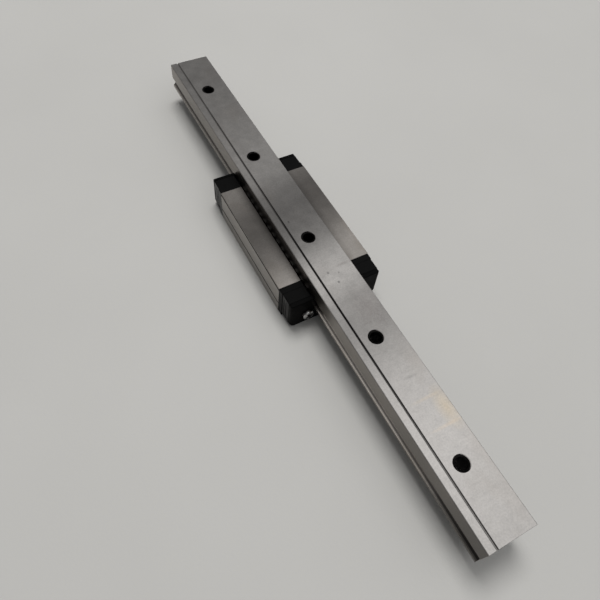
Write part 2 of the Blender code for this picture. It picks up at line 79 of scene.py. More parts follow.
# Balls, their raceways and the wires that keep them in
BALL_RADIUS = 3.175 / 2 * MM
BALL_Y = 8.05 * MM
BALL_Z = 8.8 * MM
BALL_SUBDIVISIONS = 4
BALLS_PER_CIRCUIT = 31
LOADED_BALLS = 13
RETURN_RADIUS = 1.75 * MM
RETURN_Y = 12.85 * MM
RACEWAY_RADIUS = 1.72 * MM
RACEWAY_CLEARANCE = 0.04 * MM
RELIEF_Y = 5.6 * MM
RELIEF_HALF_HEIGHT = 0.45 * MM
RELIEF_DRAFT = 0.05 * MM
# Heights of the strip on the raceway's lower lip that gets a painted highlight
LIP_HIGHLIGHT_Z = (7.1 * MM, 7.45 * MM)
WIRE_RADIUS = 0.25 * MM
WIRE_Y = 6.13 * MM
WIRE_LEG_X = 27.0 * MM
WIRE_LEG_Y = 9.3 * MM
WIRE_BEND = 0.6 * MM
WIRE_ROOM = 0.2 * MM

# Carriage block
BLOCK_LOW, BLOCK_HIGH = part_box("carriage_block")
CARRIAGE_X = (BLOCK_LOW.x + BLOCK_HIGH.x) / 2
BLOCK_END_X = (BLOCK_HIGH.x - BLOCK_LOW.x) / 2
BLOCK_HALF_WIDTH = BLOCK_HIGH.y
BLOCK_RADII = (0.2 * MM, 0.15 * MM)
BLOCK_EDGE = 0.05 * MM
CHANNEL_HALF_WIDTH = 8.0 * MM
SKIRT_HALF_WIDTH = 8.5 * MM
CHANNEL_ROOF_Z = 5.2 * MM
SIDE_LINES_Z = (4.15 * MM, 11.25 * MM)
SIDE_LINE_HALF_WIDTH = 0.4 * MM
SIDE_LINE_DEPTH = 0.25 * MM
TAPPED_SPACING = 25 * MM
TAPPED_RADIUS = 1.25 * MM
TAPPED_MOUTH_RADIUS = 1.6 * MM
TAPPED_DEPTH = 4 * MM
TAPPED_THREAD_Z = (0.4 * MM, TAPPED_DEPTH - 0.1 * MM)
TAPPED_THREAD_DEPTH = 0.2 * MM
TAPPED_PITCH = 0.5 * MM

# Plastic ends: a thin flange against the block, the cap and the seal
JOINT_GAP = 0.1 * MM
FLANGE_END_X = 23.9 * MM
FLANGE_HALF_WIDTH = 15.95 * MM
FLANGE_LOW = 0.05 * MM
FLANGE_HIGH = 11.95 * MM
FLANGE_RADII = (0.4 * MM, 0.3 * MM)
FLANGE_DRAFT = 0.05 * MM
CAP_END_X = 27.9 * MM
CAP_HALF_WIDTH = 15.75 * MM
CAP_LOW = 0.2 * MM
CAP_HIGH = 11.85 * MM
CAP_RADII = (1.6 * MM, 0.3 * MM)
CAP_EDGE = 0.12 * MM
CAP_NOSE_CLEARANCE = 0.35 * MM
CAP_RIB_X = (25.0 * MM, 26.2 * MM)
CAP_RIB_DEPTH = 0.1 * MM
CAP_RIB_HALF_WIDTH = 0.15 * MM
SEAL_END_X = 29.4 * MM
SEAL_HALF_WIDTH = 15.7 * MM
SEAL_LOW = 0.25 * MM
SEAL_HIGH = 11.8 * MM
SEAL_RADII = (2.0 * MM, 0.4 * MM)
SEAL_EDGE = 0.55 * MM
SEAL_CLEARANCE = 0.25 * MM
GREASE_GROOVE_Z = (1.1 * MM, 1.8 * MM)
GREASE_GROOVE_DEPTH = 0.6 * MM

# Ball turns in the plastic ends
TURN_X = BLOCK_END_X + JOINT_GAP / 2
TURN_Y = (BALL_Y + RETURN_Y) / 2
TURN_RADIUS = (RETURN_Y - BALL_Y) / 2
TURN_OUTER_RADIUS = 4.15 * MM
TURN_HALF_HEIGHT = 1.75 * MM
GUIDE_CLEARANCE = 0.12 * MM
GUIDE_ROOM = 4 * MM  # how far the cutter for a return guide's other half reaches into the block
# Radius of a turn when its length is measured in chords between touching balls
CHORD_RADIUS = BALL_RADIUS / math.asin(BALL_RADIUS / TURN_RADIUS)

# Screws and grease plugs
SCREW_Y = 9.7 * MM
SCREW_Z = 4.6 * MM
SCREW_HEAD_RADIUS = 1.85 * MM
SCREW_HEAD_HEIGHT = 1.2 * MM
SCREW_HEAD_EDGE = 0.08 * MM
SCREW_DOME_START = 0.45  # the part of the head's height that its straight side takes
SCREW_DOME_POWER = 0.6
SCREW_SHANK_RADIUS = 0.95 * MM
SCREW_NECK = 0.3 * MM
SCREW_POINT = 0.4 * MM
SCREW_TIP_X = 17.4 * MM
SCREW_PITCH = 0.4 * MM
SCREW_THREAD_DEPTH = 0.18 * MM
SCREW_HOLE_RADIUS = 1.15 * MM
SCREW_HOLE_END_X = 16.6 * MM
SCREW_TURNS = {(-1, -1): 0.5, (-1, 1): 1.1, (1, -1): 0.35, (1, 1): 0.8}  # radians, by end and side
CROSS_WIDTH = 0.95 * MM
CROSS_SPAN = 2.9 * MM
CROSS_DEPTH = 0.8 * MM
CROSS_TAPER = 0.75
PORT_Z = 2.9 * MM
PORT_RADIUS = 1.55 * MM
PLUG_RADIUS = 1.4 * MM
PLUG_END_RADIUS = 0.85 * PLUG_RADIUS
PLUG_TIP_RADIUS = 0.7 * PLUG_RADIUS
PLUG_START_X = 25.6 * MM
PLUG_END_X = 28.7 * MM
PLUG_PITCH = 0.5 * MM
PLUG_THREAD_DEPTH = 0.2 * MM
PLUG_THREAD_X = (PLUG_START_X + 0.4 * MM, PLUG_END_X - 0.2 * MM)
PLUG_SOCKET_RADIUS = 0.85 * MM
PLUG_SOCKET_DEPTH = 1.2 * MM
PLUG_SOCKET_POINT_DEPTH = 1.2 * PLUG_SOCKET_DEPTH
HEXAGON = 6  # sides of the plug's socket

# Steps in a quarter turn
CORNER_STEPS = 5
EDGE_STEPS = 4
BEND_STEPS = 8
DOME_STEPS = 8
WIRE_STEPS = 4

# Steps in a raceway's arc, in a return guide's profile and in a whole turn
ARC_STEPS = 10
GUIDE_STEPS = 16
ROUND_STEPS = 48

# Telling faces apart: by how much of the normal lies along an axis, and by distance
SQUARE = 0.9
OBLIQUE = 0.5
LINE_SLOPE = 0.3
RIM_NORMAL_Z = (0.5, 0.95)
NEAR = 0.05 * MM
SMOOTH_ANGLE = math.radians(30)

# Materials
NOISE_RANGE = (0.3, 0.7)  # most values of a noise lie in it
EVEN = (1, 1, 1)
MIX_INPUTS = (0, 6, 7)  # a colour Mix node's factor and its two colours
MIX_RESULT = 2
PAPER_COLOURS = ((0.365, 0.362, 0.352, 1), (0.383, 0.380, 0.370, 1))

# Stains and scuffs on the steel: centre and half-widths in millimetres, and the colour factor
RAIL_STAINS = (
    # Rust-coloured oil, with two smears beside it
    ((66, 5.6, 16), (7.5, 3.4, 2), (1.12, 1.02, 0.86)),
    ((61.6, 2.0, 16), (0.7, 5.5, 2), (1.12, 1.06, 0.98)),
    ((70.2, 2.8, 16), (0.7, 6.0, 2), (1.15, 1.07, 0.98)),
    # Scuffs across the rail
    ((54.6, 1.6, 16), (0.5, 3.0, 2), (0.80, 0.80, 0.80)),
    ((13.6, 4.5, 16), (0.6, 4.0, 2), (0.82, 0.80, 0.80)),
    # Small dark specks
    ((14.8, -1.3, 16), (0.6, 0.5, 1), (0.35, 0.35, 0.35)),
    ((19.1, 0.0, 16), (0.6, 0.5, 1), (0.30, 0.30, 0.30)),
    ((-8.2, -2.8, 16), (0.5, 0.4, 1), (0.30, 0.30, 0.30)),
    ((16.0, 1.8, 16), (0.4, 0.4, 1), (0.55, 0.55, 0.55)),
    # A broad, slightly darker patch
    ((31.0, 3.5, 16), (9.0, 6.0, 2), (0.92, 0.90, 0.90)),
)
# Painted shade: the block's faces either side of the rail are darker next to it
BLOCK_SHADE_SPOTS = [((-10.5, side * 8.6, 12), (60, 3.2, 3), (0.6, 0.6, 0.6)) for side, _ in SIDES]

# Painted reflection and shade: light and dark bands along the steel, as (x in millimetres, tone); the
# underside's follow x + slant * y
RAIL_SLANT = 0.2
# Painted reflection on the rail's underside: brighter and darker bands where the room is reflected
RAIL_REFLECTION_TONES = (
    (-98, 1.0), (-90, 0.95), (-60, 1.05), (-42, 1.18), (-30, 1.09), (-22, 0.71), (-14, 0.54), (-6, 0.62),
    (2, 0.83), (10, 1.5), (18, 1.57), (26, 1.06), (34, 0.92), (40, 0.96), (54, 1.26), (70, 1.32), (98, 1.1),
)
# Painted shade on the rail's sides: darker towards the near end, with a lighter band just past the carriage
SIDE_SHADE_TONES = (
    (-100, 0.63), (-90, 0.55), (20, 0.57), (28, 0.75), (34, 0.64), (56, 0.6), (68, 0.48), (84, 0.46),
    (93, 0.33), (100, 0.27),
)
# Painted highlight along the raceway's lower lip: brightest from 30 to 60 mm, fading away towards the ends
LIP_HIGHLIGHT_TONES = (
    (-100, 0.6), (-40, 0.5), (20, 0.9), (32, 1.05), (60, 1.1), (68, 0.8), (78, 0.6), (84, 0.3), (94, 0.13),
    (100, 0.12),
)
# Painted shade in the datum groove, lighter and darker along the rail
DATUM_SHADING_TONES = (
    (-100, 2.3), (-60, 1.9), (-35, 1.5), (0, 0.4), (35, 0.22), (60, 0.9), (75, 1.6), (100, 2.0),
)
# Painted reflection on the block's faces beside the rail: the x where the bands start and end, their slant,
# and (part of the way, tone)
BLOCK_REFLECTION_BANDS = (-36.4 * MM, 7.0 * MM, 0.32)
BLOCK_REFLECTION_TONES = (
    (0.0, 1.12), (0.1, 1.05), (0.24, 0.76), (0.37, 0.57), (0.51, 0.52), (0.65, 0.63), (0.79, 0.84),
    (0.93, 1.25), (1.0, 1.45),
)
# Painted highlight: the hole rims are lighter where they face the rail's left, in steps: (limit of the
# normal's y, tone)
RIM_HIGHLIGHT_TONES = ((-0.2, 0.14), (-0.32, 0.25), (-0.4, 0.36))

# Floor, world, lights and camera: in metres and watts, but the lens and sensor are in millimetres
FLOOR_REACH = 3
FLOOR_THICKNESS = 2 * MM
BRIGHT_DIRECTION = (0.1, 0.35, 0.93)
WORLD_STRENGTH = 1.25
WORLD_STOPS = (
    (0.5, 0.155), (0.7, 0.18), (0.78, 0.21), (0.84, 0.36), (0.93, 0.47), (0.945, 0.56), (0.965, 0.95),
    (1.0, 0.92),
)
LIGHT_COLOUR = (1.0, 0.99, 0.97)
# Name, place, diameter, power, and whether it shows in reflections
LIGHTS = (
    ("window", (1.1, 0.3, 1.0), 1.2, 3.0, True),
    ("lamp", (-0.35, 0.12, 1.2), 0.6, 13.5, False),
)
CAMERA_LENS = 32.91
CAMERA_SENSOR = 36
CAMERA_CLIP = 5 * MM
CAMERA_PLACE = (0.09252, -0.06192, 0.14988)
CAMERA_RIGHT = (0.47022, 0.88035, 0.06233)
CAMERA_DOWN = (0.75597, -0.36533, -0.54318)
CAMERA_FORWARD = (-0.45541, 0.30253, -0.83730)


# Nodes


def feed(tree, socket, value):
    """Sets a socket to a value, or links it to another node's output."""
    if isinstance(value, bpy.types.NodeSocket):
        tree.links.new(value, socket)
    else:
        socket.default_value = value


def node(tree, kind, settings=None, **inputs):
    """Adds a node. An input is a value or another node's output, and _ in its name stands for a space."""
    made = tree.nodes.new(kind)
    for key, value in (settings or {}).items():
        setattr(made, key, value)
    for key, value in inputs.items():
        feed(tree, made.inputs[key.replace("_", " ")], value)
    return made


def new_material(name, **inputs):
    material = bpy.data.materials.new(name)
    material.use_nodes = True
    tree = material.node_tree
    shader = tree.nodes["Principled BSDF"]
    for key, value in inputs.items():
        shader.inputs[key.replace("_", " ")].default_value = value
    return material, tree, shader


def grey(value, warmth=0.0):
    return (value * (1 + warmth), value, value * (1 - warmth), 1.0)


def grain(tree, stretch, scale, detail=3.0, roughness=0.55):
    """Noise in the piece's own millimetres, with its coordinates multiplied by stretch along X, Y and Z."""
    place = node(tree, "ShaderNodeTexCoord").outputs["Object"]
    size = tuple(MM_PER_METRE * s for s in stretch)
    mapped = node(tree, "ShaderNodeMapping", Vector=place, Scale=size).outputs["Vector"]
    noise = node(tree, "ShaderNodeTexNoise", Vector=mapped, Scale=scale, Detail=detail, Roughness=roughness)
    return noise.outputs["Fac"]


def spot(tree, centre, size):
    """A soft-edged spot, 1 at its centre (x, y, z) and 0 from its half-widths on, in millimetres."""
    place = node(tree, "ShaderNodeTexCoord").outputs["Object"]
    scale = [MM_PER_METRE / s for s in size]
    shift = [-c / s for c, s in zip(centre, size)]
    mapped = node(tree, "ShaderNodeMapping", Vector=place, Scale=scale, Location=shift).outputs["Vector"]
    return node(tree, "ShaderNodeTexGradient", {"gradient_type": "SPHERICAL"}, Vector=mapped).outputs["Fac"]


def levels(tree, value, low, high, to_low=0.0, to_high=1.0):
    """The value, with low to high stretched to to_low to to_high."""
    mapped = node(
        tree, "ShaderNodeMapRange", Value=value, From_Min=low, From_Max=high, To_Min=to_low, To_Max=to_high
    )
    return mapped.outputs["Result"]


def spread(tree, noise, low=0.0, high=1.0):
    """Noise stretched so that its usual range runs from low to high."""
    return levels(tree, noise, *NOISE_RANGE, low, high)


def varied(tree, noise, middle, share):
    """Noise as a value round middle that goes up and down by a share of it."""
    return spread(tree, noise, middle * (1 - share), middle * (1 + share))


def mixed(tree, mode, factor, first, second):
    made = node(tree, "ShaderNodeMix", {"data_type": "RGBA", "blend_type": mode})
    for index, value in zip(MIX_INPUTS, (factor, first, second)):
        feed(tree, made.inputs[index], value)
    return made.outputs[MIX_RESULT]


def blend(tree, factor, first, second):
    """The first colour where factor is 0 and the second where it is 1."""
    return mixed(tree, "MIX", factor, first, second)


def tinted(tree, colour, factor):
    """The colour times a value or another colour."""
    return mixed(tree, "MULTIPLY", 1.0, colour, factor)


def math_node(tree, operation, first, second):
    made = node(tree, "ShaderNodeMath", {"operation": operation})
    feed(tree, made.inputs[0], first)
    feed(tree, made.inputs[1], second)
    return made.outputs[0]


def ramp(tree, value, stops):
    """Greys between (position, brightness) stops."""
    made = node(tree, "ShaderNodeValToRGB", Fac=value)
    elements = made.color_ramp.elements
    elements[0].position, elements[0].color = stops[0][0], grey(stops[0][1])
    elements[1].position, elements[1].color = stops[-1][0], grey(stops[-1][1])
    for position, tone in stops[1:-1]:
        elements.new(position).color = grey(tone)
    return made.outputs["Color"]


def bumped(tree, shader, height, depth):
    bump = node(tree, "ShaderNodeBump", Height=height, Distance=depth)
    tree.links.new(bump.outputs["Normal"], shader.inputs["Normal"])


# Materials


def on_rail(tones, slant=0.0):
    """What ground_steel takes as along, for bands of painted reflection and shade on the rail from (x in
    millimetres, tone) pairs.
    """
    length = RAIL_HIGH.x - RAIL_LOW.x
    return RAIL_LOW.x, RAIL_HIGH.x, slant, [((x * MM - RAIL_LOW.x) / length, tone) for x, tone in tones]


def banded(tree, colour, along):
    """The colour times a tone that changes with x + slant * y, for painted reflection and shade."""
    start, end, slant, stops = along
    place = node(tree, "ShaderNodeSeparateXYZ", Vector=node(tree, "ShaderNodeTexCoord").outputs["Object"])
    across = math_node(tree, "MULTIPLY", place.outputs["Y"], slant)
    distance = math_node(tree, "ADD", place.outputs["X"], across)
    return tinted(tree, colour, ramp(tree, levels(tree, distance, start, end), stops))


def ground_steel(name, tone, roughness, warmth=0.02, stains_and_shade=(), along=None):
    """Surface-ground steel: fine speckle, faint lines across the rail, soft clouds and oily patches.

    stains_and_shade are (centre, half-widths, colour factor) for real stains and painted shade, and along is
    (start, end, slant, stops) for bands of painted reflection and shade along the piece.
    """
    material, tree, shader = new_material(name, Metallic=1.0)
    speckle = grain(tree, EVEN, scale=2.6, detail=3.0, roughness=0.7)
    lines = grain(tree, (1.6, 0.12, 1.6), scale=1.3)
    clouds = grain(tree, EVEN, scale=0.3, detail=5.0)
    oil = grain(tree, (0.6, 1, 1), scale=0.07, detail=2.0)
    colour = grey(tone, warmth)
    for noise, share in ((speckle, 0.12), (lines, 0.03), (clouds, 0.08)):
        colour = tinted(tree, colour, varied(tree, noise, 1.0, share))
    oiliness = levels(tree, oil, low=0.55, high=0.75, to_high=0.3)
    colour = blend(tree, oiliness, colour, grey(tone * 0.8, warmth * 3))
    if along:
        colour = banded(tree, colour, along)
    # Real stains on the rail, and painted shade beside the rail on the block
    for centre, size, factor in stains_and_shade:
        colour = blend(tree, spot(tree, centre, size), colour, tinted(tree, colour, (*factor, 1.0)))
    tree.links.new(colour, shader.inputs["Base Color"])
    cloudy = varied(tree, clouds, roughness, share=0.1)
    rough = math_node(tree, "ADD", cloudy, spread(tree, speckle, low=-0.02, high=0.02))
    tree.links.new(rough, shader.inputs["Roughness"])
    bumped(tree, shader, math_node(tree, "ADD", speckle, lines), depth=0.006 * MM)
    return material


def cut_steel(name, tone):
    """A sawn and deburred end: coarse lines across it."""
    material, tree, shader = new_material(name, Metallic=1.0)
    lines = grain(tree, (1, 0.08, 1.2), scale=3.0)
    colour = blend(tree, spread(tree, lines), grey(tone * 0.8), grey(tone * 1.2))
    tree.links.new(colour, shader.inputs["Base Color"])
    tree.links.new(spread(tree, lines, low=0.38, high=0.55), shader.inputs["Roughness"])
    bumped(tree, shader, lines, depth=0.02 * MM)
    return material


def bored_steel(name, tone):
    """The wall of a drilled or tapped hole, with rings round it: oily dark scale, made near black with
    painted shade.
    """
    material, tree, shader = new_material(name, Metallic=1.0)
    rings = grain(tree, (0.2, 0.2, 6), scale=1.0, detail=2.0)
    colour = blend(tree, spread(tree, rings), grey(tone * 0.7, warmth=0.05), grey(tone * 1.2, warmth=0.05))
    tree.links.new(colour, shader.inputs["Base Color"])
    tree.links.new(spread(tree, rings, low=0.35, high=0.5), shader.inputs["Roughness"])
    bumped(tree, shader, rings, depth=0.02 * MM)
    return material


def moulded_plastic(name, tone, roughness, specular, speck=1.0):
    """Injection-moulded plastic with a fine spark-eroded texture and dull patches."""
    material, tree, shader = new_material(name, Metallic=0.0, Specular_IOR_Level=specular)
    fine = grain(tree, EVEN, scale=7.0, detail=2.0)
    patches = grain(tree, EVEN, scale=0.35, detail=4.0)
    colour = blend(tree, spread(tree, patches), grey(tone * 0.8), grey(tone * 1.3))
    tree.links.new(colour, shader.inputs["Base Color"])
    tree.links.new(varied(tree, patches, roughness, share=0.15), shader.inputs["Roughness"])
    bumped(tree, shader, fine, depth=0.012 * MM * speck)
    return material


def polished_steel(name, tone, roughness):
    """Lapped balls, drawn wire and plated screws: bright, with faint smears of grease."""
    material, tree, shader = new_material(name, Metallic=1.0)
    smear = grain(tree, EVEN, scale=0.8)
    smeared = levels(tree, smear, low=0.4, high=0.7)
    colour = blend(tree, smeared, grey(tone), grey(tone * 0.82, warmth=0.03))
    tree.links.new(colour, shader.inputs["Base Color"])
    rough = spread(tree, smear, low=roughness * 0.6, high=roughness * 1.6)
    tree.links.new(rough, shader.inputs["Roughness"])
    return material


def paper(name):
    """The pale sheet that the guide lies on."""
    material, tree, shader = new_material(name, Metallic=0.0, Roughness=0.85)
    fibre = grain(tree, EVEN, scale=1.2, detail=5.0)
    cloud = grain(tree, EVEN, scale=0.01)
    tree.links.new(blend(tree, spread(tree, cloud), *PAPER_COLOURS), shader.inputs["Base Color"])
    bumped(tree, shader, fibre, depth=0.03 * MM)
    return material


RAIL_STEEL = ground_steel(
    "rail_ground_steel",
    tone=0.38,
    roughness=0.33,
    warmth=0.04,
    stains_and_shade=RAIL_STAINS,
    along=on_rail(RAIL_REFLECTION_TONES, RAIL_SLANT),
)
# Painted shade: the rail's sides are darkened along their length
RAIL_SIDE_STEEL = ground_steel(
    "rail_side_steel", tone=0.38, roughness=0.33, warmth=0.09, along=on_rail(SIDE_SHADE_TONES)
)
# Painted highlight: a strip of much lighter steel on the raceway's lower lip
LIP_HIGHLIGHT_STEEL = ground_steel(
    "lip_highlight_steel", tone=0.78, roughness=0.25, warmth=0.08, along=on_rail(LIP_HIGHLIGHT_TONES)
)
# Painted highlight and shade: the raceway is darker than the rail and has the lip's bands along it
RACEWAY_STEEL = ground_steel("raceway_steel", tone=0.3, roughness=0.25, warmth=0.08, along=on_rail(LIP_HIGHLIGHT_TONES))
# Painted shade: the datum groove's faces are much darker than the rail
DATUM_SHADE_STEEL = ground_steel(
    "datum_groove_shade_steel", tone=0.12, roughness=0.45, warmth=0.04, along=on_rail(DATUM_SHADING_TONES)
)
# Painted shade: the channel between block and rail is near black
CHANNEL_SHADE_STEEL = ground_steel("block_channel_shade_steel", tone=0.015, roughness=0.4)
BLOCK_STEEL = ground_steel("block_ground_steel", tone=0.29, roughness=0.36, warmth=0.065)
# Painted reflection and shade on the block's faces beside the rail
BLOCK_TOP_REFLECTION_STEEL = ground_steel(
    "block_underside_reflection_steel",
    tone=0.30,
    roughness=0.36,
    warmth=0.07,
    stains_and_shade=BLOCK_SHADE_SPOTS,
    along=(*BLOCK_REFLECTION_BANDS, BLOCK_REFLECTION_TONES),
)
# Painted shade in the block's two side lines: near-black steel and plastic in the grooves
LOWER_LINE_SHADE_STEEL = ground_steel("lower_line_shade_steel", tone=0.05, roughness=0.5)
UPPER_LINE_SHADE = moulded_plastic("upper_line_shade", tone=0.003, roughness=0.6, specular=0.1)
CUT_STEEL = cut_steel("cut_end_steel", tone=0.33)
# Near black: the walls' dark scale deepened with painted shade down the holes
BORE_STEEL = bored_steel("bored_steel", tone=0.008)
RIM_HIGHLIGHT_STEELS = [bored_steel(f"rim_highlight_steel_{tone}", tone) for _, tone in RIM_HIGHLIGHT_TONES]
# Painted shade inside the screws' cross recesses
RECESS_SHADE_STEEL = bored_steel("recess_shade_steel", tone=0.03)
BLACK_PLASTIC = moulded_plastic("black_plastic", tone=0.002, roughness=0.5, specular=0.08)
# Painted light and sheen: the caps' sides are lit copies of the black plastic, the rear's lighter and
# glossier
SIDE_PLASTIC_SHADE_AND_SHEEN = {
    "front": moulded_plastic("front_side_painted_light", tone=0.004, roughness=0.45, specular=0.16),
    "rear": moulded_plastic("rear_side_painted_sheen", tone=0.008, roughness=0.42, specular=0.35),
}
SEAL_RUBBER = moulded_plastic("seal_rubber", tone=0.0015, roughness=0.55, specular=0.05, speck=1.6)
WHITE_PLASTIC = moulded_plastic("white_plastic", tone=0.60, roughness=0.5, specular=0.5, speck=0.6)
# Painted shade: the balls are darkened, as they sit in the dark gap between block and rail
SHADED_BALL_STEEL = polished_steel("shaded_ball_steel", tone=0.16, roughness=0.15)
WIRE_STEEL = polished_steel("wire_steel", tone=0.50, roughness=0.25)
SCREW_STEEL = polished_steel("screw_steel", tone=0.44, roughness=0.24)
PAPER = paper("pale_paper")


# Shapes


def finished(name, work, material):
    """The bmesh as an object in the scene, with its faces turned outwards."""
    bmesh.ops.recalc_face_normals(work, faces=work.faces)
    mesh = bpy.data.meshes.new(name)
    work.to_mesh(mesh)
    work.free()
    mesh.materials.append(material)
    obj = bpy.data.objects.new(name, mesh)
    bpy.context.scene.collection.objects.link(obj)
    return obj


def evaluated_mesh(obj):
    bpy.context.view_layer.update()
    graph = bpy.context.evaluated_depsgraph_get()
    return bpy.data.meshes.new_from_object(obj.evaluated_get(graph), depsgraph=graph)


def settle(obj):
    """Applies every modifier of obj."""
    obj.data = evaluated_mesh(obj)
    obj.modifiers.clear()


def prism(name, outline, start_x, end_x, material):
    """A cross-section in (y, z) extruded along X."""
    work = bmesh.new()
    face = work.faces.new([work.verts.new((start_x, y, z)) for y, z in outline])
    extruded = bmesh.ops.extrude_face_region(work, geom=[face])
    moved = [part for part in extruded["geom"] if isinstance(part, bmesh.types.BMVert)]
    bmesh.ops.translate(work, verts=moved, vec=(end_x - start_x, 0, 0))
    return finished(name, work, material)


def loft(name, sections, material):
    """A solid through sections (x, outline in (y, z)), whose outlines match point for point."""
    work = bmesh.new()
    rings = [[work.verts.new((x, y, z)) for y, z in outline] for x, outline in sections]
    count = len(rings[0])
    for first, second in zip(rings, rings[1:]):
        for i in range(count):
            j = (i + 1) % count
            if (first[i].co - second[i].co).length + (first[j].co - second[j].co).length > 0:
                work.faces.new([first[i], first[j], second[j], second[i]])
    work.faces.new(rings[0])
    work.faces.new(rings[-1])
    bmesh.ops.remove_doubles(work, verts=work.verts, dist=TINY / 100)
    return finished(name, work, material)


def turned(name, profile, material, steps=ROUND_STEPS):
    """A profile of (radius, height) points from top to bottom, turned about Z."""
    work = bmesh.new()
    rings = []
    for radius, height in profile:
        count = steps if radius > 0 else 1
        angles = [2 * math.pi * i / steps for i in range(count)]
        points = [(radius * math.cos(a), radius * math.sin(a), height) for a in angles]
        rings.append([work.verts.new(point) for point in points])
    for upper, lower in zip(rings, rings[1:]):
        for i in range(steps):
            j = (i + 1) % steps
            left = [upper[i % len(upper)], lower[i % len(lower)]]
            right = [lower[j % len(lower)], upper[j % len(upper)]]
            work.faces.new(list(dict.fromkeys(left + right)))
    return finished(name, work, material)


def cylinder(name, radius, start, end, material):
    axis = Vector(end) - Vector(start)
    length = axis.length
    obj = turned(name, [(0, length), (radius, length), (radius, 0), (0, 0)], material)
    turn = axis.to_track_quat("Z", "Y").to_matrix().to_4x4()
    obj.data.transform(Matrix.Translation(start) @ turn)
    return obj


def box(name, low, high, material):
    work = bmesh.new()
    size = Vector(high) - Vector(low)
    middle = (Vector(low) + Vector(high)) / 2
    bmesh.ops.create_cube(work, size=1, matrix=Matrix.Translation(middle) @ Matrix.Diagonal((*size, 1)))
    return finished(name, work, material)


def tube(name, points, radius, material):
    """A round wire through the points, with flat ends."""
    curve = bpy.data.curves.new(name, "CURVE")
    curve.dimensions = "3D"
    curve.bevel_depth = radius
    curve.bevel_resolution = WIRE_STEPS - 1
    curve.use_fill_caps = True
    spline = curve.splines.new("POLY")
    spline.points.add(len(points) - 1)
    for point, place in zip(spline.points, points):
        point.co = (*place, 1)
    line = bpy.data.objects.new(name + "_line", curve)
    bpy.context.scene.collection.objects.link(line)
    work = bmesh.new()
    work.from_mesh(evaluated_mesh(line))
    bmesh.ops.remove_doubles(work, verts=work.verts, dist=TINY / 10)
    bpy.data.objects.remove(line)
    return finished(name, work, material)


def cut(obj, *cutters):
    """Takes the cutters away from obj, which keeps their materials on the cut faces."""
    for cutter in cutters:
        modifier = obj.modifiers.new(cutter.name, "BOOLEAN")
        modifier.operation = "DIFFERENCE"
        modifier.solver = "EXACT"
        modifier.material_mode = "TRANSFER"
        modifier.object = cutter
    settle(obj)
    for cutter in cutters:
        bpy.data.objects.remove(cutter)


def bevel_edges(obj, width):
    """A narrow flat bevel on every sharp edge."""
    bevel = obj.modifiers.new("edges", "BEVEL")
    bevel.width = width
    bevel.segments = 1
    bevel.limit_method = "ANGLE"
    bevel.angle_limit = SMOOTH_ANGLE
    settle(obj)


def shade(obj):
    """Smooth shading that keeps flat faces flat: the large faces set the normals at a rounded edge."""
    obj.data.shade_smooth()
    obj.data.set_sharp_from_angle(angle=SMOOTH_ANGLE)
    normals = obj.modifiers.new("normals", "WEIGHTED_NORMAL")
    normals.keep_sharp = True
    settle(obj)


def paint(obj, material, test):
    """Gives material to the faces whose centre and normal pass the test."""
    obj.data.materials.append(material)
    index = len(obj.data.materials) - 1
    for face in obj.data.polygons:
        if test(face.center, face.normal):
            face.material_index = index


def runs_along(normal):
    """True for a face that runs along the rail or lies only a little askew to it."""
    return abs(normal.x) < OBLIQUE


def is_end(normal):
    return abs(normal.x) > SQUARE


def along_x(obj, direction, place):
    """Turns a piece made about Z so that its top points along +X or -X, and puts it in place."""
    obj.data.transform(Matrix.Translation(place) @ Matrix.Rotation(direction * math.pi / 2, 4, "Y"))


def hand_over(obj, node_name, body="carriage"):
    """The piece stands for its CAD node, which is hidden, and joins the body."""
    shade(obj)
    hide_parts(node_name)
    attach(obj, body)


# Outlines, as (y, z) points, and profiles, as (radius, height) points


def quarter(y, z, radius, start):
    """A quarter circle's points round (y, z), from the angle start, in degrees."""
    angles = [math.radians(start + 90 * i / CORNER_STEPS) for i in range(CORNER_STEPS + 1)]
    return [(y + radius * math.cos(a), z + radius * math.sin(a)) for a in angles]


def arch(towards, radius, low_wall, high_wall, bottom_half_height=0.0):
    """The two arcs of a Gothic arch round the +Y row of balls, each listed with rising z."""
    offset = (RACEWAY_RADIUS - BALL_RADIUS - RACEWAY_CLEARANCE) * math.sqrt(0.5)
    centre_y = BALL_Y - towards * offset
    arcs = []
    for up, wall in ((-1, low_wall), (1, high_wall)):
        centre_z = BALL_Z - up * offset
        bottom = math.asin((bottom_half_height + offset) / radius)
        lip = math.acos((wall - centre_y) * towards / radius)
        angles = [bottom + (lip - bottom) * i / ARC_STEPS for i in range(ARC_STEPS + 1)]
        arc = [
            (centre_y + towards * radius * math.cos(a), centre_z + up * radius * math.sin(a))
            for a in angles
        ]
        arcs.append(arc[::-1] if up < 0 else arc)
    return arcs


def mirrored(right):
    return [(-y, z) for y, z in reversed(right)]


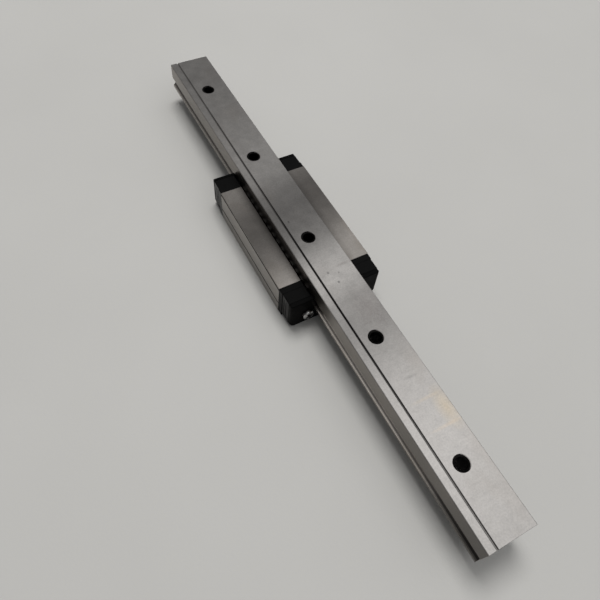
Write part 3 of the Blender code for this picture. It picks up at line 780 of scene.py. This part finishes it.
def rail_outline():
    half_width, top_z = RAIL_HIGH.y, RAIL_HIGH.z
    low, high = arch(-1, RACEWAY_RADIUS, half_width, half_width, RELIEF_HALF_HEIGHT)
    relief = [
        (RELIEF_Y, BALL_Z - RELIEF_HALF_HEIGHT + RELIEF_DRAFT),
        (RELIEF_Y, BALL_Z + RELIEF_HALF_HEIGHT - RELIEF_DRAFT),
    ]
    right = [
        (half_width - RAIL_CHAMFER, RAIL_LOW.z),
        (half_width, RAIL_LOW.z + RAIL_CHAMFER),
        *low,
        *relief,
        *high,
        (half_width, top_z - RAIL_CHAMFER),
        (half_width - RAIL_CHAMFER, top_z),
    ]
    datum_groove = [
        (DATUM_Y + DATUM_WIDTH / 2, top_z),
        (DATUM_Y + DATUM_FLOOR_WIDTH / 2, top_z - DATUM_DEPTH),
        (DATUM_Y - DATUM_FLOOR_WIDTH / 2, top_z - DATUM_DEPTH),
        (DATUM_Y - DATUM_WIDTH / 2, top_z),
    ]
    return right + datum_groove + mirrored(right)


def channel_walls(towards, radius, low_wall, high_wall, roof):
    """The inner side of the carriage's section at +Y, from the top down to the channel's roof.

    It has a raceway where towards is 1, and a nose that reaches into the rail's raceway where it is -1.
    """
    low, high = arch(towards, radius, low_wall, high_wall)
    return [*reversed(high), *reversed(low[:-1]), (low_wall, roof)]


def saddle_outline(half_width, low, high, radii, walls, lines_z=()):
    """The C-shaped section that straddles the rail, with its long outer edges rounded."""
    low_radius, high_radius = radii
    lines = []
    for z in lines_z:
        lines.append((half_width, z - SIDE_LINE_HALF_WIDTH))
        lines.append((half_width - SIDE_LINE_DEPTH, z))
        lines.append((half_width, z + SIDE_LINE_HALF_WIDTH))
    right = [
        *quarter(half_width - low_radius, low + low_radius, low_radius, -90),
        *lines,
        *quarter(half_width - high_radius, high - high_radius, high_radius, 0),
        (walls[0][0], high),
        *walls,
    ]
    return right + mirrored(right)


def threaded(radius, depth, start, end, pitch):
    """Profile points of a V thread's rings from start down to end."""
    count = int((start - end) / pitch)
    points = []
    for i in range(count):
        crest = start - i * pitch
        points += [(radius, crest), (radius - depth, crest - pitch / 2)]
    return points + [(radius, start - count * pitch)]


# Rail


def make_rail_hole(number):
    """Cutter for one screw hole: a countersunk rim in the underside and a counterbore in the top."""
    top_z, low_z = RAIL_HIGH.z, RAIL_LOW.z
    shoulder_z = low_z + COUNTERBORE_DEPTH
    hole = turned(
        f"rail_hole_{number}",
        [
            (0, top_z + THROUGH),
            (HOLE_MOUTH_RADIUS, top_z + THROUGH),
            (HOLE_MOUTH_RADIUS, top_z),
            (HOLE_RIM_RADIUS, top_z - HOLE_RIM_DEPTH),
            (HOLE_RADIUS, top_z - HOLE_SINK_DEPTH),
            (HOLE_RADIUS, shoulder_z),
            (COUNTERBORE_RADIUS, shoulder_z),
            (COUNTERBORE_RADIUS, low_z + COUNTERBORE_CHAMFER),
            (COUNTERBORE_RADIUS + COUNTERBORE_CHAMFER, low_z),
            (COUNTERBORE_RADIUS + COUNTERBORE_CHAMFER, low_z - THROUGH),
            (0, low_z - THROUGH),
        ],
        BORE_STEEL,
    )
    x = RAIL_MIDDLE_X + (number - (HOLE_COUNT - 1) / 2) * HOLE_PITCH
    hole.data.transform(Matrix.Translation((x, 0, 0)))
    return hole


def paint_rail(rail):
    """Gives each kind of face its own material."""
    half_width, top_z = RAIL_HIGH.y, RAIL_HIGH.z

    def in_raceway(c, n):
        across = RELIEF_Y - NEAR < abs(c.y) < half_width - NEAR
        return runs_along(n) and across and abs(c.z - BALL_Z) < RACEWAY_RADIUS

    def on_lip(c, n):
        low, high = LIP_HIGHLIGHT_Z
        return runs_along(n) and RELIEF_Y < abs(c.y) < half_width and low < c.z < high

    def on_side(c, n):
        return abs(n.y) > SQUARE and abs(c.y) > half_width - NEAR

    def in_datum_groove(c, n):
        below = top_z - 2 * DATUM_DEPTH < c.z < top_z - TINY
        return runs_along(n) and below and abs(c.y - DATUM_Y) < DATUM_WIDTH / 2

    def on_rim(c, n):
        steep, flat = RIM_NORMAL_Z
        return steep < n.z < flat and c.z > top_z - HOLE_RIM_DEPTH and 0 < c.y < HOLE_MOUTH_RADIUS

    # Painted highlight and shade: lit or shaded steels for the raceway, its lower lip, the sides, the datum
    # groove and the hole rims
    paint(rail, RACEWAY_STEEL, in_raceway)
    paint(rail, LIP_HIGHLIGHT_STEEL, on_lip)
    paint(rail, RAIL_SIDE_STEEL, on_side)
    paint(rail, DATUM_SHADE_STEEL, in_datum_groove)
    for steel, (slope, _) in zip(RIM_HIGHLIGHT_STEELS, RIM_HIGHLIGHT_TONES):
        paint(rail, steel, lambda c, n: on_rim(c, n) and n.y < slope)
    paint(rail, CUT_STEEL, lambda c, n: is_end(n) and abs(c.x - RAIL_MIDDLE_X) > RAIL_HALF_LENGTH - NEAR)


def make_rail():
    rail = prism("rail_ground", rail_outline(), RAIL_LOW.x, RAIL_HIGH.x, RAIL_STEEL)
    bevel_edges(rail, RAIL_EDGE)
    for number in range(HOLE_COUNT):
        cut(rail, make_rail_hole(number))
    paint_rail(rail)
    hand_over(rail, "rail", "rail")


# Carriage, made about x = 0 and then moved to its place on the rail


def place_carriage(obj, node_name):
    obj.data.transform(Matrix.Translation((CARRIAGE_X, 0, 0)))
    hand_over(obj, node_name)


def screw_hole(end, side):
    return cylinder(
        f"screw_hole_{end}_{side}",
        SCREW_HOLE_RADIUS,
        (end * SCREW_HOLE_END_X, side * SCREW_Y, SCREW_Z),
        (end * (SEAL_END_X + THROUGH), side * SCREW_Y, SCREW_Z),
        BORE_STEEL,
    )


def port(end):
    return cylinder(
        f"port_{end}",
        PORT_RADIUS,
        (end * (BLOCK_END_X - THROUGH), 0, PORT_Z),
        (end * (SEAL_END_X + THROUGH), 0, PORT_Z),
        BLACK_PLASTIC,
    )


def tapped_hole(end, end_name, side, side_name):
    thread_low, thread_high = TAPPED_THREAD_Z
    outer = TAPPED_RADIUS + TAPPED_THREAD_DEPTH
    hole = turned(
        f"tapped_{end_name}_{side_name}",
        [
            (0, TAPPED_DEPTH + TAPPED_RADIUS / 2),
            (TAPPED_RADIUS, TAPPED_DEPTH),
            *threaded(outer, TAPPED_THREAD_DEPTH, thread_high, thread_low, TAPPED_PITCH),
            (TAPPED_MOUTH_RADIUS, 0),
            (TAPPED_MOUTH_RADIUS, -THROUGH),
            (0, -THROUGH),
        ],
        BORE_STEEL,
    )
    hole.data.transform(Matrix.Translation((end * TAPPED_SPACING / 2, side * TAPPED_SPACING / 2, 0)))
    return hole


def paint_block(block):
    """Gives each kind of face its own material."""

    def in_channel(c, n):
        inside = abs(c.y) < BALL_Y + RACEWAY_RADIUS and CHANNEL_ROOF_Z - NEAR < c.z < BLOCK_HIGH.z - NEAR
        return runs_along(n) and inside and n.z < SQUARE

    def in_line(c, n, line_z):
        sunk = BLOCK_HALF_WIDTH - SIDE_LINE_DEPTH < abs(c.y) < BLOCK_HALF_WIDTH
        return sunk and abs(n.z) > LINE_SLOPE and abs(c.z - line_z) < SIDE_LINE_HALF_WIDTH

    # Painted shade and reflection: the channel, the faces beside the rail and the side lines get darkened or
    # banded steels
    paint(block, CHANNEL_SHADE_STEEL, in_channel)
    paint(block, BLOCK_TOP_REFLECTION_STEEL, lambda c, n: n.z > SQUARE and c.z > BLOCK_HIGH.z - NEAR)
    for line_z, material in zip(SIDE_LINES_Z, (LOWER_LINE_SHADE_STEEL, UPPER_LINE_SHADE)):
        paint(block, material, lambda c, n: in_line(c, n, line_z))
    paint(block, CUT_STEEL, lambda c, n: is_end(n))


def make_block():
    walls = channel_walls(1, RACEWAY_RADIUS, CHANNEL_HALF_WIDTH, SKIRT_HALF_WIDTH, CHANNEL_ROOF_Z)
    outline = saddle_outline(BLOCK_HALF_WIDTH, BLOCK_LOW.z, BLOCK_HIGH.z, BLOCK_RADII, walls, SIDE_LINES_Z)
    block = prism("block_ground", outline, -BLOCK_END_X, BLOCK_END_X, BLOCK_STEEL)
    bevel_edges(block, BLOCK_EDGE)
    cutters = []
    for side, side_name in SIDES:
        start = (-BLOCK_END_X - THROUGH, side * RETURN_Y, BALL_Z)
        stop = (BLOCK_END_X + THROUGH, side * RETURN_Y, BALL_Z)
        cutters.append(cylinder(f"return_bore_{side_name}", RETURN_RADIUS, start, stop, BORE_STEEL))
        for end, end_name in ENDS:
            cutters += [tapped_hole(end, end_name, side, side_name), screw_hole(end, side)]
    cut(block, *cutters)
    paint_block(block)
    place_carriage(block, "carriage_block")


def end_sections(end, end_x, edge, half_width, low, high, radii, walls):
    """Sections that round the outer edges of an end's outer face at end_x, from full size to the face."""
    sections = []
    for i in range(EDGE_STEPS + 1):
        angle = math.pi / 2 * i / EDGE_STEPS
        inset = edge * (1 - math.cos(angle))
        smaller = [max(radius - inset, edge / 10) for radius in radii]
        outline = saddle_outline(half_width - inset, low + inset, high - inset, smaller, walls)
        sections.append((end * (end_x - edge * (1 - math.sin(angle))), outline))
    return sections


def grease_grooves(end, end_name):
    """Grooves on a cap's inner face that take grease from the port to both ball turns."""
    low, high = GREASE_GROOVE_Z
    width = high - low
    reach = RETURN_Y + width
    start, stop = sorted((end * (BLOCK_END_X - THROUGH), end * (TURN_X + GREASE_GROOVE_DEPTH)))
    grooves = [box(f"grease_across_{end_name}", (start, -reach, low), (stop, reach, high), BLACK_PLASTIC)]
    for side, side_name in SIDES:
        near, far = sorted((side * RETURN_Y, side * reach))
        name = f"grease_up_{end_name}_{side_name}"
        top = BALL_Z - BALL_RADIUS
        grooves.append(box(name, (start, near, low + width / 2), (stop, far, top), BLACK_PLASTIC))
    return grooves


def wire_points(side, leg_y):
    """The middle line of a retaining wire, whose bent ends reach out to leg_y."""
    half = [(WIRE_LEG_X, leg_y)]
    for i in range(BEND_STEPS + 1):
        angle = math.pi / 2 * i / BEND_STEPS
        x = WIRE_LEG_X - WIRE_BEND * (1 - math.cos(angle))
        half.append((x, WIRE_Y + WIRE_BEND * (1 - math.sin(angle))))
    points = half + [(-x, y) for x, y in reversed(half)]
    return [(x, side * y, BALL_Z) for x, y in points]


def wire_room(end, end_name, side, side_name):
    """The bent hole in a cap that holds one end of a retaining wire."""
    line = wire_points(side, WIRE_LEG_Y + WIRE_ROOM)
    middle = len(line) // 2
    inner = [(end * (BLOCK_END_X - THROUGH), side * WIRE_Y, BALL_Z)]
    points = line[:middle] + inner if end > 0 else inner + line[middle:]
    return tube(f"wire_room_{end_name}_{side_name}", points, WIRE_RADIUS + WIRE_ROOM, BLACK_PLASTIC)


def side_rib(end, end_name, side, side_name, rib_x):
    """A fine groove up one side of a cap."""
    return box(
        f"rib_{end_name}_{side_name}_{rib_x}",
        (end * rib_x - CAP_RIB_HALF_WIDTH, side * CAP_HALF_WIDTH - CAP_RIB_DEPTH, CAP_RADII[0]),
        (end * rib_x + CAP_RIB_HALF_WIDTH, side * CAP_HALF_WIDTH + CAP_RIB_DEPTH, CAP_HIGH - CAP_RADII[0]),
        BLACK_PLASTIC,
    )


def turn_pocket(end, end_name, side, side_name):
    """The room in a cap where the balls turn from one row to the other."""
    return cylinder(
        f"turn_{end_name}_{side_name}",
        TURN_OUTER_RADIUS,
        (end * TURN_X, side * TURN_Y, BALL_Z - TURN_HALF_HEIGHT),
        (end * TURN_X, side * TURN_Y, BALL_Z + TURN_HALF_HEIGHT),
        BLACK_PLASTIC,
    )


def make_end_cap(end, end_name):
    nose_radius = RACEWAY_RADIUS - CAP_NOSE_CLEARANCE
    walls = channel_walls(-1, nose_radius, CHANNEL_HALF_WIDTH, SKIRT_HALF_WIDTH, CHANNEL_ROOF_Z)
    flange = saddle_outline(FLANGE_HALF_WIDTH, FLANGE_LOW, FLANGE_HIGH, FLANGE_RADII, walls)
    body = saddle_outline(CAP_HALF_WIDTH, CAP_LOW, CAP_HIGH, CAP_RADII, walls)
    sections = [
        (end * (BLOCK_END_X + JOINT_GAP), flange),
        (end * (FLANGE_END_X - FLANGE_DRAFT), flange),
        (end * FLANGE_END_X, body),
        *end_sections(end, CAP_END_X, CAP_EDGE, CAP_HALF_WIDTH, CAP_LOW, CAP_HIGH, CAP_RADII, walls),
    ]
    cap = loft(f"end_cap_{end_name}_moulded", sections, BLACK_PLASTIC)
    cutters = [port(end)]
    for side, side_name in SIDES:
        where = (end, end_name, side, side_name)
        cutters += [side_rib(*where, rib_x) for rib_x in CAP_RIB_X]
        cutters += [turn_pocket(*where), screw_hole(end, side), wire_room(*where)]
    cut(cap, *cutters, *grease_grooves(end, end_name))
    outermost = CAP_HALF_WIDTH + CAP_RIB_DEPTH if end_name == "front" else BLOCK_HALF_WIDTH

    def on_side(c, n):
        """The cap's own sides, and at the rear the flange's sides too."""
        return abs(n.y) > SQUARE and CAP_HALF_WIDTH - CAP_RIB_DEPTH / 2 < abs(c.y) < outermost

    # Painted light and sheen on the cap's sides
    paint(cap, SIDE_PLASTIC_SHADE_AND_SHEEN[end_name], on_side)
    place_carriage(cap, f"end_cap_{end_name}")


def make_end_seal(end, end_name):
    lip = RAIL_HIGH.y + SEAL_CLEARANCE
    walls = channel_walls(-1, RACEWAY_RADIUS - SEAL_CLEARANCE, lip, lip, RAIL_LOW.z - SEAL_CLEARANCE)
    full = saddle_outline(SEAL_HALF_WIDTH, SEAL_LOW, SEAL_HIGH, SEAL_RADII, walls)
    sections = [
        (end * (CAP_END_X + JOINT_GAP), full),
        *end_sections(end, SEAL_END_X, SEAL_EDGE, SEAL_HALF_WIDTH, SEAL_LOW, SEAL_HIGH, SEAL_RADII, walls),
    ]
    seal = loft(f"end_seal_{end_name}_moulded", sections, SEAL_RUBBER)
    cut(seal, port(end), *[screw_hole(end, side) for side, _ in SIDES])
    place_carriage(seal, f"end_seal_{end_name}")


def make_return_guide(end, end_name, side, side_name):
    """The inner half of a ball turn: a half spool with a groove that the balls roll round in."""
    half_height = TURN_HALF_HEIGHT - GUIDE_CLEARANCE
    groove = BALL_RADIUS + GUIDE_CLEARANCE
    profile = [(0, half_height)]
    for i in range(GUIDE_STEPS + 1):
        height = half_height * (1 - 2 * i / GUIDE_STEPS)
        profile.append((TURN_RADIUS - math.sqrt(max(groove**2 - height**2, 0)), height))
    profile.append((0, -half_height))
    guide = turned(f"return_guide_{end_name}_{side_name}_moulded", profile, WHITE_PLASTIC)
    guide.data.transform(Matrix.Translation((end * TURN_X, side * TURN_Y, BALL_Z)))
    inner, outer = sorted((end * (BLOCK_END_X - GUIDE_ROOM), end * (BLOCK_END_X + JOINT_GAP / 2)))
    other_half = box(
        f"half_{end_name}_{side_name}",
        (inner, side * TURN_Y - TURN_OUTER_RADIUS, BALL_Z - 2 * TURN_HALF_HEIGHT),
        (outer, side * TURN_Y + TURN_OUTER_RADIUS, BALL_Z + 2 * TURN_HALF_HEIGHT),
        WHITE_PLASTIC,
    )
    cut(guide, other_half)
    place_carriage(guide, f"return_guide_{end_name}_{side_name}")


def screw_dome(under_head):
    """Profile points of a pan head from its middle out to its straight side."""
    points = []
    for i in range(DOME_STEPS + 1):
        angle = math.pi / 2 * i / DOME_STEPS
        radius = SCREW_HEAD_RADIUS * math.sin(angle) ** SCREW_DOME_POWER
        height = SCREW_HEAD_HEIGHT * (SCREW_DOME_START + (1 - SCREW_DOME_START) * math.cos(angle))
        points.append((radius, under_head + height))
    return points


def cross_recess(name, top):
    """Cutters for the two arms of a cross recess, narrower at the bottom."""
    arms = []
    for width, height in ((CROSS_SPAN, CROSS_WIDTH), (CROSS_WIDTH, CROSS_SPAN)):
        arm = box(
            f"cross_{name}_{width}",
            (-width / 2, -height / 2, top - CROSS_DEPTH),
            (width / 2, height / 2, top + THROUGH),
            RECESS_SHADE_STEEL,
        )
        for vertex in arm.data.vertices:
            if vertex.co.z < top:
                vertex.co.x *= CROSS_TAPER
                vertex.co.y *= CROSS_TAPER
        arms.append(arm)
    return arms


def make_cap_screw(end, end_name, side, side_name):
    under_head = SEAL_END_X + JOINT_GAP / 2
    thread_start, thread_end = under_head - SCREW_NECK, SCREW_TIP_X + SCREW_POINT
    screw = turned(
        f"cap_screw_{end_name}_{side_name}_turned",
        [
            *screw_dome(under_head),
            (SCREW_HEAD_RADIUS, under_head + SCREW_HEAD_EDGE),
            (SCREW_HEAD_RADIUS - SCREW_HEAD_EDGE, under_head),
            (SCREW_SHANK_RADIUS, under_head),
            *threaded(SCREW_SHANK_RADIUS, SCREW_THREAD_DEPTH, thread_start, thread_end, SCREW_PITCH),
            (SCREW_SHANK_RADIUS / 2, SCREW_TIP_X),
            (0, SCREW_TIP_X),
        ],
        SCREW_STEEL,
    )
    cut(screw, *cross_recess(f"{end_name}_{side_name}", under_head + SCREW_HEAD_HEIGHT))
    screw.data.transform(Matrix.Rotation(SCREW_TURNS[(end, side)], 4, "Z"))
    along_x(screw, end, (0, side * SCREW_Y, SCREW_Z))
    place_carriage(screw, f"cap_screw_{end_name}_{side_name}")


def make_grease_plug(end, end_name):
    thread_low, thread_high = PLUG_THREAD_X
    plug = turned(
        f"grease_plug_{end_name}_turned",
        [
            (0, PLUG_END_X),
            (PLUG_END_RADIUS, PLUG_END_X),
            *threaded(PLUG_RADIUS, PLUG_THREAD_DEPTH, thread_high, thread_low, PLUG_PITCH),
            (PLUG_TIP_RADIUS, PLUG_START_X),
            (0, PLUG_START_X),
        ],
        SCREW_STEEL,
    )
    socket = turned(
        f"socket_{end_name}",
        [
            (0, PLUG_END_X + THROUGH),
            (PLUG_SOCKET_RADIUS, PLUG_END_X + THROUGH),
            (PLUG_SOCKET_RADIUS, PLUG_END_X - PLUG_SOCKET_DEPTH),
            (0, PLUG_END_X - PLUG_SOCKET_POINT_DEPTH),
        ],
        SCREW_STEEL,
        HEXAGON,
    )
    cut(plug, socket)
    along_x(plug, end, (0, 0, PORT_Z))
    place_carriage(plug, f"grease_plug_{end_name}")


def make_retaining_wire(side, side_name):
    name = f"retaining_wire_{side_name}"
    wire = tube(name + "_drawn", wire_points(side, WIRE_LEG_Y), WIRE_RADIUS, WIRE_STEEL)
    place_carriage(wire, name)


# Balls


def circuit_point(distance):
    """(x, y) on the +Y circuit, at a distance in chords of a ball from the middle of its loaded row."""
    straight = 2 * TURN_X
    turn = math.pi * CHORD_RADIUS
    distance = (distance + straight / 2) % (2 * (straight + turn))
    if distance < straight:
        return distance - straight / 2, BALL_Y
    distance -= straight
    if distance < turn:
        angle = distance / CHORD_RADIUS
        return TURN_X + TURN_RADIUS * math.sin(angle), TURN_Y - TURN_RADIUS * math.cos(angle)
    distance -= turn
    if distance < straight:
        return straight / 2 - distance, RETURN_Y
    angle = (distance - straight) / CHORD_RADIUS
    return -TURN_X - TURN_RADIUS * math.sin(angle), TURN_Y + TURN_RADIUS * math.cos(angle)


def make_ball(name, side, step):
    """The ball that is step places along its circuit from the middle of the loaded row."""
    pitch = (4 * TURN_X + 2 * math.pi * CHORD_RADIUS) / BALLS_PER_CIRCUIT
    x, y = circuit_point(step * pitch)
    work = bmesh.new()
    bmesh.ops.create_icosphere(work, subdivisions=BALL_SUBDIVISIONS, radius=BALL_RADIUS)
    bmesh.ops.translate(work, verts=work.verts, vec=(CARRIAGE_X + x, side * y, BALL_Z))
    return finished(name, work, SHADED_BALL_STEEL)


def make_balls(side, side_name):
    first_returning = (LOADED_BALLS + 1) // 2
    for i in range(LOADED_BALLS):
        ball = make_ball(f"loaded_ball_{side_name}_{i + 1:02d}", side, i - (LOADED_BALLS - 1) // 2)
        hand_over(ball, f"ball_{side_name}_{i + 1:02d}")
    for step in range(first_returning, BALLS_PER_CIRCUIT - first_returning + 1):
        ball = make_ball(f"returning_ball_{side_name}_{step:02d}", side, step)
        hand_over(ball, f"returning_balls_{side_name}")


# Floor, light and camera


def make_floor():
    low = (-FLOOR_REACH, -FLOOR_REACH, -FLOOR_THICKNESS)
    floor = box("floor", low, (FLOOR_REACH, FLOOR_REACH, 0), PAPER)


def make_light(name, place, size, power, reflected):
    """A round lamp that is aimed at the origin, and lights reflections too if it is reflected."""
    light = bpy.data.lights.new(name, "AREA")
    light.shape = "DISK"
    light.size = size
    light.energy = power
    light.color = LIGHT_COLOUR
    lamp = bpy.data.objects.new(name, light)
    lamp.location = place
    lamp.rotation_euler = (-Vector(place)).to_track_quat("-Z", "Y").to_euler()
    lamp.visible_glossy = reflected
    bpy.context.scene.collection.objects.link(lamp)


def make_world():
    """A soft room that is brightest almost overhead and dim towards the horizon."""
    world = bpy.data.worlds.new("soft_room")
    world.use_nodes = True
    bpy.context.scene.world = world
    tree = world.node_tree
    towards = node(tree, "ShaderNodeVectorMath", {"operation": "DOT_PRODUCT"})
    feed(tree, towards.inputs[0], node(tree, "ShaderNodeTexCoord").outputs["Generated"])
    feed(tree, towards.inputs[1], BRIGHT_DIRECTION)
    light = ramp(tree, levels(tree, towards.outputs["Value"], -1.0, 1.0), WORLD_STOPS)
    tree.links.new(light, tree.nodes["Background"].inputs["Color"])
    tree.nodes["Background"].inputs["Strength"].default_value = WORLD_STRENGTH


def make_camera():
    camera = bpy.data.cameras.new("camera")
    camera.lens = CAMERA_LENS
    camera.sensor_width = CAMERA_SENSOR
    camera.clip_start = CAMERA_CLIP
    view = bpy.data.objects.new("camera", camera)
    turn = Matrix((Vector(CAMERA_RIGHT), -Vector(CAMERA_DOWN), -Vector(CAMERA_FORWARD))).transposed()
    view.matrix_world = Matrix.Translation(Vector(CAMERA_PLACE)) @ turn.to_4x4()
    bpy.context.scene.collection.objects.link(view)
    bpy.context.scene.camera = view


make_rail()
make_block()
for end, end_name in ENDS:
    make_end_cap(end, end_name)
    make_end_seal(end, end_name)
    make_grease_plug(end, end_name)
    for side, side_name in SIDES:
        make_return_guide(end, end_name, side, side_name)
        make_cap_screw(end, end_name, side, side_name)
for side, side_name in SIDES:
    make_retaining_wire(side, side_name)
    make_balls(side, side_name)
make_floor()
make_world()
for light in LIGHTS:
    make_light(*light)
make_camera()
bpy.context.scene.view_settings.view_transform = "Standard"
